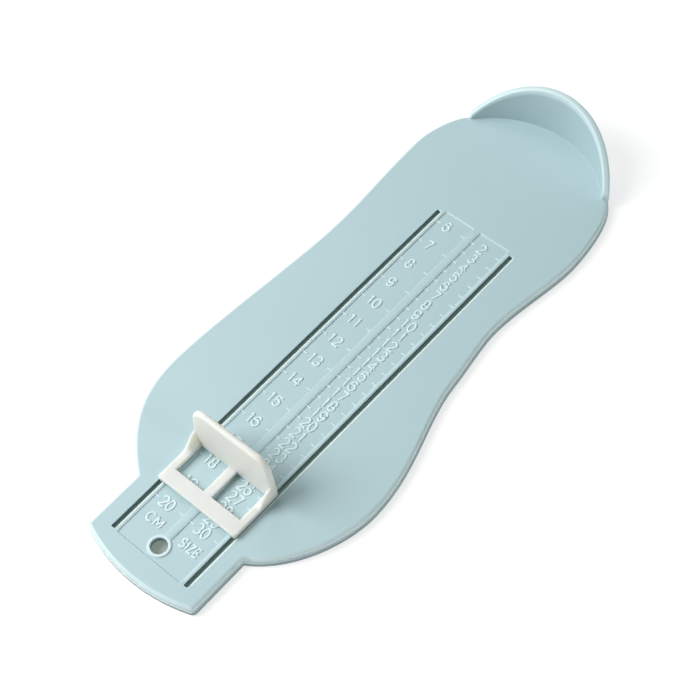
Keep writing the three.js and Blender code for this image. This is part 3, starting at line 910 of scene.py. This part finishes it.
def column_tree():
    """Geometry nodes that write a column of rising numbers with the ten digits."""
    sockets = {"Geometry": "Geometry", "First Number": "Int", "Count": "Int", "Pitch": "Float"}
    across = {"Single Across": "Float", "Tens Across": "Float", "Ones Across": "Float"}
    parts = {"Start": "Vector", "Digits": "Collection", "Material": "Material"}
    tree, given = node_tree("number_column", {**sockets, **across, **parts})
    step = maths(tree, "MULTIPLY", given["Pitch"], -1.0)
    offset = add(tree, "ShaderNodeCombineXYZ", {"Y": step}).outputs[0]
    inputs = {"Count": given["Count"], "Start Location": given["Start"], "Offset": offset}
    row = add(tree, "GeometryNodeMeshLine", inputs).outputs[0]
    index = add(tree, "GeometryNodeInputIndex").outputs[0]
    number = maths(tree, "ADD", index, given["First Number"])
    tens = maths(tree, "FLOOR", maths(tree, "DIVIDE", number, 10.0))
    ones = maths(tree, "MODULO", number, 10.0)
    has_tens = maths(tree, "GREATER_THAN", tens, 0.5)
    inputs = {"Switch": has_tens, "False": given["Single Across"], "True": given["Ones Across"]}
    ones_across = add(tree, "GeometryNodeSwitch", inputs, input_type="FLOAT").outputs[0]
    inputs = {"Collection": given["Digits"], "Separate Children": True, "Reset Children": True}
    digits = add(tree, "GeometryNodeCollectionInfo", inputs).outputs[0]
    joined = add(tree, "GeometryNodeJoinGeometry")
    for digit, place_across, shown in (
        (tens, given["Tens Across"], has_tens),
        (ones, ones_across, True),
    ):
        shift = add(tree, "ShaderNodeCombineXYZ", {"X": place_across}).outputs[0]
        spots = add(tree, "GeometryNodeSetPosition", {"Geometry": row, "Offset": shift}).outputs[0]
        inputs = {"Points": spots, "Selection": shown, "Instance": digits, "Instance Index": digit}
        copies = add(tree, "GeometryNodeInstanceOnPoints", {**inputs, "Pick Instance": True})
        tree.links.new(copies.outputs[0], joined.inputs[0])
    finish_tree(tree, joined.outputs[0], given["Material"])
    return tree


def grow(obj, tree, values):
    """Runs geometry nodes on an object, gives the mesh that they make and drops the object."""
    modifier = obj.modifiers.new("grow", "NODES")
    modifier.node_group = tree
    for item in tree.interface.items_tree:
        if item.name in values:
            modifier[item.identifier] = values[item.name]
    mesh = settle(obj)
    bpy.data.objects.remove(obj)
    return mesh


def raised(name, strokes, origin, material, width=STROKE_WIDTH, height=STROKE_HEIGHT, paleness=1):
    """The mesh of raised strokes, each a list of points in millimetres from an origin, with a painted
    highlight.
    """
    curve = bpy.data.curves.new(name, "CURVE")
    curve.dimensions = "3D"
    for stroke in strokes:
        closed = math.dist(stroke[0], stroke[-1]) < CLOSED_GAP
        points = stroke[:-1] if closed else stroke
        spline = curve.splines.new("POLY")
        spline.points.add(len(points) - 1)
        spline.use_cyclic_u = closed
        for point, (x, y) in zip(spline.points, points):
            point.co = (origin.x + x * MM, origin.y + y * MM, origin.z, 1)
            point.radius = 1
    values = {
        "Width": width * MM,
        "Height": (height + STROKE_SINK) * MM,
        "Flank": STROKE_FLANK * MM,
        "Rounding": STROKE_ROUNDING * MM,
        "Sink": STROKE_SINK * MM,
        "Step": STROKE_STEP * MM,
        "Paleness": float(paleness),
        "Material": material,
    }
    return grow(link(bpy.data.objects.new(name, curve)), STROKES, values)


def written(text, centres, width, height):
    """Strokes of some characters, in millimetres from the middle of their line."""
    return [
        [(centre + across * width, (up - 0.5) * height) for across, up in stroke]
        for character, centre in zip(text, centres)
        for stroke in CHARACTERS[character]
    ]


def scale_numbers(plan, material):
    """Both columns of numbers, as two pieces of the base."""
    digits = bpy.data.collections.new("digits")
    for digit in "0123456789":
        strokes = written(digit, [0], DIGIT_WIDTH, DIGIT_HEIGHT)
        mesh = raised("digit_" + digit, strokes, Vector((0, 0, 0)), material)
        digits.objects.link(bpy.data.objects.new(mesh.name, mesh))
    tree = column_tree()
    shared = {
        "Start": plan.point(0, FIRST_CENTIMETRE * CENTIMETRE, PANEL_FLOOR),
        "Digits": digits,
        "Material": material,
    }
    columns = {
        "centimetre_numbers": (FIRST_CENTIMETRE, LAST_CENTIMETRE, CENTIMETRE, CENTIMETRE_DIGITS),
        "size_numbers": (FIRST_SIZE, LAST_SIZE, SIZE_PITCH, SIZE_DIGITS),
    }
    for name, (first, last, pitch, (single, tens, ones)) in columns.items():
        values = {
            "First Number": first,
            "Count": last - first + 1,
            "Pitch": pitch * MM,
            "Single Across": single * MM,
            "Tens Across": tens * MM,
            "Ones Across": ones * MM,
        }
        seed = link(bpy.data.objects.new(name, bpy.data.meshes.new(name)))
        place(name, grow(seed, tree, {**shared, **values}), material, "base")
    for digit in list(digits.objects):
        bpy.data.objects.remove(digit)
    bpy.data.collections.remove(digits)


def scale_words(plan, material):
    """The word at the foot of each column."""
    middle = plan.point(0, WORD_ALONG, PANEL_FLOOR)
    for name, (text, centres, width) in WORDS.items():
        mesh = raised(name, written(text, centres, width, WORD_HEIGHT), middle, material)
        place(name, mesh, material, "base")


def scale_ticks(plan, material):
    """Both rows of ticks of both columns, from the rib and from the panel's edge."""
    start = FIRST_CENTIMETRE * CENTIMETRE
    length = (LAST_CENTIMETRE - FIRST_CENTIMETRE) * CENTIMETRE
    for name, sign, pitch in (("centimetre_ticks", -1, CENTIMETRE), ("size_ticks", 1, SIZE_PITCH)):
        strokes = []
        for i in range(round(length / pitch) + 1):
            y = -start - i * pitch
            strokes.append([(sign * RIB_HALF_WIDTH, y), (sign * (RIB_HALF_WIDTH + TICK_LENGTH), y)])
            edge = PANEL_HALF_WIDTH
            strokes.append([(sign * edge, y), (sign * (edge - TICK_LENGTH), y)])
        origin = plan.point(0, 0, PANEL_FLOOR)
        mesh = raised(name, strokes, origin, material, TICK_WIDTH, TICK_HEIGHT)
        place(name, mesh, material, "base")


def crowns(plan, material):
    """The low crowns along the rib, the right rail and the slots, and round the hang hole."""
    origin = plan.point(0, 0, DECK_TOP)
    start = -PANEL_START - CROWN_INSET
    rail_end = -PANEL_END + CROWN_INSET
    rib_end = -HOLE_ALONG + RING_RADIUS
    rail = [[(RAIL_MIDDLE, start), (RAIL_MIDDLE, rail_end)]]
    lips = [[(x + LIP_MIDDLE, start), (x + LIP_MIDDLE, rail_end)] for x in (-SLOT_INNER, SLOT_OUTER)]
    rib = [[(0, start), (0, rib_end)]]
    ring = [arc(0, -HOLE_ALONG, RING_MIDDLE, RING_MIDDLE, 0, 360)]
    # Each crown carries its own painted highlight.
    for name, strokes, width, paleness in (
        ("rail_crowns", rail, RAIL_CROWN_WIDTH, RAIL_PALENESS),
        ("lip_crowns", lips, LIP_CROWN_WIDTH, LIP_PALENESS),
        ("rib_crown", rib, RIB_CROWN_WIDTH, RIB_PALENESS),
        ("ring_crown", ring, RING_CROWN_WIDTH, RING_PALENESS),
    ):
        mesh = raised(name, strokes, origin, material, width, CROWN_HEIGHT, paleness)
        place(name, mesh, material, "base")


def plastic(name, colour, pale, highlight_tone):
    """A moulded plastic with faint flow marks, a fine grain, painted highlights and painted shade."""
    material = bpy.data.materials.new(name)
    material.use_nodes = True
    tree = material.node_tree
    shader = tree.nodes["Principled BSDF"]
    coordinates = add(tree, "ShaderNodeTexCoord").outputs
    inputs = {"Vector": coordinates["Object"], "Scale": (1 / MM, 1 / MM, 1 / MM)}
    millimetres = add(tree, "ShaderNodeMapping", inputs).outputs[0]
    flow = add(tree, "ShaderNodeTexNoise", {"Vector": millimetres, **FLOW_MARKS}).outputs["Fac"]
    grain = add(tree, "ShaderNodeTexNoise", {"Vector": millimetres, **GRAIN}).outputs["Fac"]
    tone = blend(tree, flow, (*colour, 1), (*pale, 1))
    paleness = add(tree, "ShaderNodeAttribute", attribute_name="paleness").outputs["Fac"]
    # Painted highlight: the colour moves toward the highlight tone where the painted light is above
    # 0.
    coloured = blend(tree, paleness, tone, (*highlight_tone, 1))
    # Painted shade: the colour darkens where the painted light is below 0.
    light = maths(tree, "ADD", maths(tree, "MINIMUM", paleness, 0.0), 1.0)
    inputs = {"Vector": coloured, "Scale": light}
    shown = add(tree, "ShaderNodeVectorMath", inputs, operation="SCALE").outputs[0]
    tree.links.new(shown, shader.inputs["Base Color"])
    inputs = {"Value": grain, "From Min": GRAIN_RANGE[0], "From Max": GRAIN_RANGE[1]}
    inputs["To Min"] = ROUGHNESS - ROUGHNESS_SPREAD
    inputs["To Max"] = ROUGHNESS + ROUGHNESS_SPREAD
    gloss = add(tree, "ShaderNodeMapRange", inputs).outputs[0]
    tree.links.new(gloss, shader.inputs["Roughness"])
    inputs = {"Height": grain, "Strength": GRAIN_STRENGTH, "Distance": GRAIN_HEIGHT * MM}
    tree.links.new(add(tree, "ShaderNodeBump", inputs).outputs[0], shader.inputs["Normal"])
    return material


def let_light_through(material):
    """Lets light into a plastic, each colour to its own reach."""
    shader = material.node_tree.nodes["Principled BSDF"].inputs
    shader["Subsurface Weight"].default_value = INNER_LIGHT
    shader["Subsurface Radius"].default_value = LIGHT_REACH
    shader["Subsurface Scale"].default_value = MM


def floor(plan):
    """A pale floor that keeps a faint shadow, shows white to the camera beside the plate, and shows a
    painted glow below the slots and the hang hole.
    """
    material = bpy.data.materials.new("floor_white")
    material.use_nodes = True
    tree = material.node_tree
    tree.nodes.clear()
    path = add(tree, "ShaderNodeLightPath").outputs
    seen = maths(tree, "MAXIMUM", path["Is Camera Ray"], path["Is Glossy Ray"])
    matte = add(tree, "ShaderNodeBsdfDiffuse", {"Color": FLOOR_TONE}).outputs[0]
    pale = add(tree, "ShaderNodeBsdfDiffuse", {"Color": FLOOR_SEEN_TONE}).outputs[0]
    where = add(tree, "ShaderNodeTexCoord").outputs["Object"]
    spot = add(tree, "ShaderNodeSeparateXYZ", {"Vector": where}).outputs
    middle = plan.point(0, (PANEL_START + PANEL_END) / 2, 0)
    half_length = ((PANEL_END - PANEL_START) / 2 + SLANT_MARGIN) * MM
    across = maths(tree, "COMPARE", spot["X"], middle.x, (SLOT_OUTER + SLANT_MARGIN) * MM)
    along = maths(tree, "COMPARE", spot["Y"], middle.y, half_length)
    under = maths(tree, "MULTIPLY", across, along)
    below_hole = maths(tree, "COMPARE", spot["X"], middle.x, (RING_RADIUS + SLANT_MARGIN) * MM)
    # Painted glow, seen by the camera, that stands in for the shaded floor below the slots and below
    # the hang hole.
    shade = blend(tree, below_hole, SLOT_PAINTED_GLOW, HOLE_PAINTED_GLOW)
    shine = blend(tree, under, FLOOR_SHINE, shade)
    lift = add(tree, "ShaderNodeEmission", {"Color": shine}).outputs[0]
    lifted = add(tree, "ShaderNodeAddShader", {0: pale, 1: lift}).outputs[0]
    clear = maths(tree, "SUBTRACT", 1.0, under)
    inputs = {"Strength": maths(tree, "MULTIPLY", clear, FLOOR_BOUNCE)}
    bounce = add(tree, "ShaderNodeEmission", inputs).outputs[0]
    unseen = add(tree, "ShaderNodeAddShader", {0: matte, 1: bounce}).outputs[0]
    both = add(tree, "ShaderNodeMixShader", {0: seen, 1: unseen, 2: lifted}).outputs[0]
    add(tree, "ShaderNodeOutputMaterial", {"Surface": both})
    half, height = FLOOR_HALF * MM, -FLOOR_DEPTH * MM
    mesh = bpy.data.meshes.new("floor")
    corners = [(-half, -half), (half, -half), (half, half), (-half, half)]
    mesh.from_pydata([(x, y, height) for x, y in corners], [], [(0, 1, 2, 3)])
    mesh.materials.append(material)
    link(bpy.data.objects.new("floor", mesh))


def softbox(name, direction, distance, size, power):
    """A square lamp that looks at the device from a direction."""
    lamp = bpy.data.lights.new(name, "AREA")
    lamp.size = size
    lamp.energy = power
    holder = link(bpy.data.objects.new(name, lamp))
    toward = Vector(direction).normalized()
    holder.location = toward * distance
    holder.rotation_mode = "QUATERNION"
    holder.rotation_quaternion = toward.to_track_quat("Z", "Y")


def world_light(colour):
    """Even light from all round, white where the camera sees it."""
    world = bpy.data.worlds.new("studio")
    bpy.context.scene.world = world
    world.use_nodes = True
    tree = world.node_tree
    tree.nodes.clear()
    seen = add(tree, "ShaderNodeLightPath").outputs["Is Camera Ray"]
    room = add(tree, "ShaderNodeBackground", {"Color": (*colour, 1)}).outputs[0]
    shown = add(tree, "ShaderNodeBackground", {"Color": (1, 1, 1, 1)}).outputs[0]
    both = add(tree, "ShaderNodeMixShader", {0: seen, 1: room, 2: shown}).outputs[0]
    add(tree, "ShaderNodeOutputWorld", {"Surface": both})


def camera():
    """The camera, at the photograph's place."""
    azimuth = math.radians(VIEW_AZIMUTH)
    elevation = math.radians(VIEW_ELEVATION)
    level_reach = math.cos(elevation)
    back = Vector((
        math.sin(azimuth) * level_reach,
        -math.cos(azimuth) * level_reach,
        math.sin(elevation),
    ))
    data = bpy.data.cameras.new("camera")
    data.lens = VIEW_LENS
    data.clip_start = VIEW_NEAREST
    holder = link(bpy.data.objects.new("camera", data))
    holder.location = Vector(VIEW_AIM) + back * VIEW_DISTANCE
    holder.rotation_mode = "QUATERNION"
    roll = Quaternion((0, 0, 1), math.radians(VIEW_ROLL))
    holder.rotation_quaternion = back.to_track_quat("Z", "Y") @ roll
    bpy.context.scene.camera = holder


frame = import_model()
PLAN = Plan()
STROKES = stroke_tree()
base_plastic = plastic("base_plastic", *BASE_TONES)
slider_plastic = plastic("slider_plastic", *SLIDER_TONES)
let_light_through(slider_plastic)
base_moulding(PLAN, frame["nodes"]["base_plate"], base_plastic)
slider_moulding(PLAN, slider_plastic)
crowns(PLAN, base_plastic)
scale_numbers(PLAN, base_plastic)
scale_words(PLAN, base_plastic)
scale_ticks(PLAN, base_plastic)
floor(PLAN)
world_light(ROOM_LIGHT)
for lamp_name, lamp_values in LAMPS.items():
    softbox(lamp_name, *lamp_values)
camera()
bpy.context.scene.view_settings.view_transform = "Standard"
